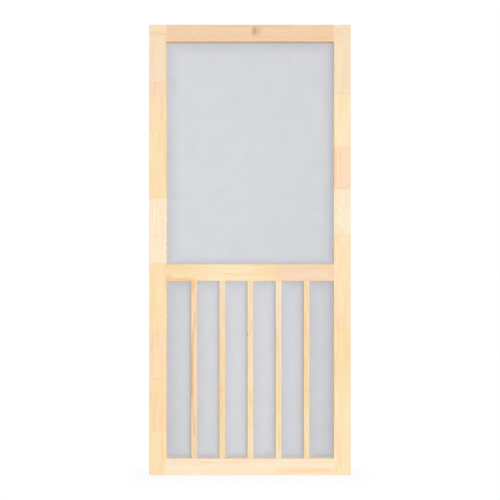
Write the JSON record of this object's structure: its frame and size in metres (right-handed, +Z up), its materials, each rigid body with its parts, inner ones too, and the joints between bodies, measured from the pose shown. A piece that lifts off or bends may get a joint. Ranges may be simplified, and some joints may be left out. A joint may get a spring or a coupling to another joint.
{
  "type": "wooden screen door",
  "caption": "Light pine screen door: a mortised frame with a screened upper opening and upright bars before a screened lower opening, hung by either edge.",
  "frame": {"origin": "foot of the left edge face, at the middle of the door's thickness", "axes": "+X across the door to the right as seen from the front, +Y through the thickness towards the back, where the screens are fixed, +Z up"},
  "size_m": [0.908, 0.0254, 2.032],
  "materials": {
    "pine_frame": "sanded, unfinished",
    "pine_bars": "planed, unfinished",
    "screen_cloth": "coated glass-fibre mesh, matt",
    "spline_vinyl": "soft vinyl, matt"
  },
  "bodies": {
    "root": {"left_stile": "pine_frame", "right_stile": "pine_frame", "top_rail": "pine_frame", "middle_rail": "pine_frame", "bottom_rail": "pine_frame", "bar_1": "pine_bars", "bar_2": "pine_bars", "bar_3": "pine_bars", "bar_4": "pine_bars", "bar_5": "pine_bars", "upper_screen": "screen_cloth", "lower_screen": "screen_cloth", "upper_spline_left": "spline_vinyl", "upper_spline_right": "spline_vinyl", "upper_spline_top": "spline_vinyl", "upper_spline_bottom": "spline_vinyl", "lower_spline_left": "spline_vinyl", "lower_spline_right": "spline_vinyl", "lower_spline_top": "spline_vinyl", "lower_spline_bottom": "spline_vinyl"}
  },
  "joints": []
}
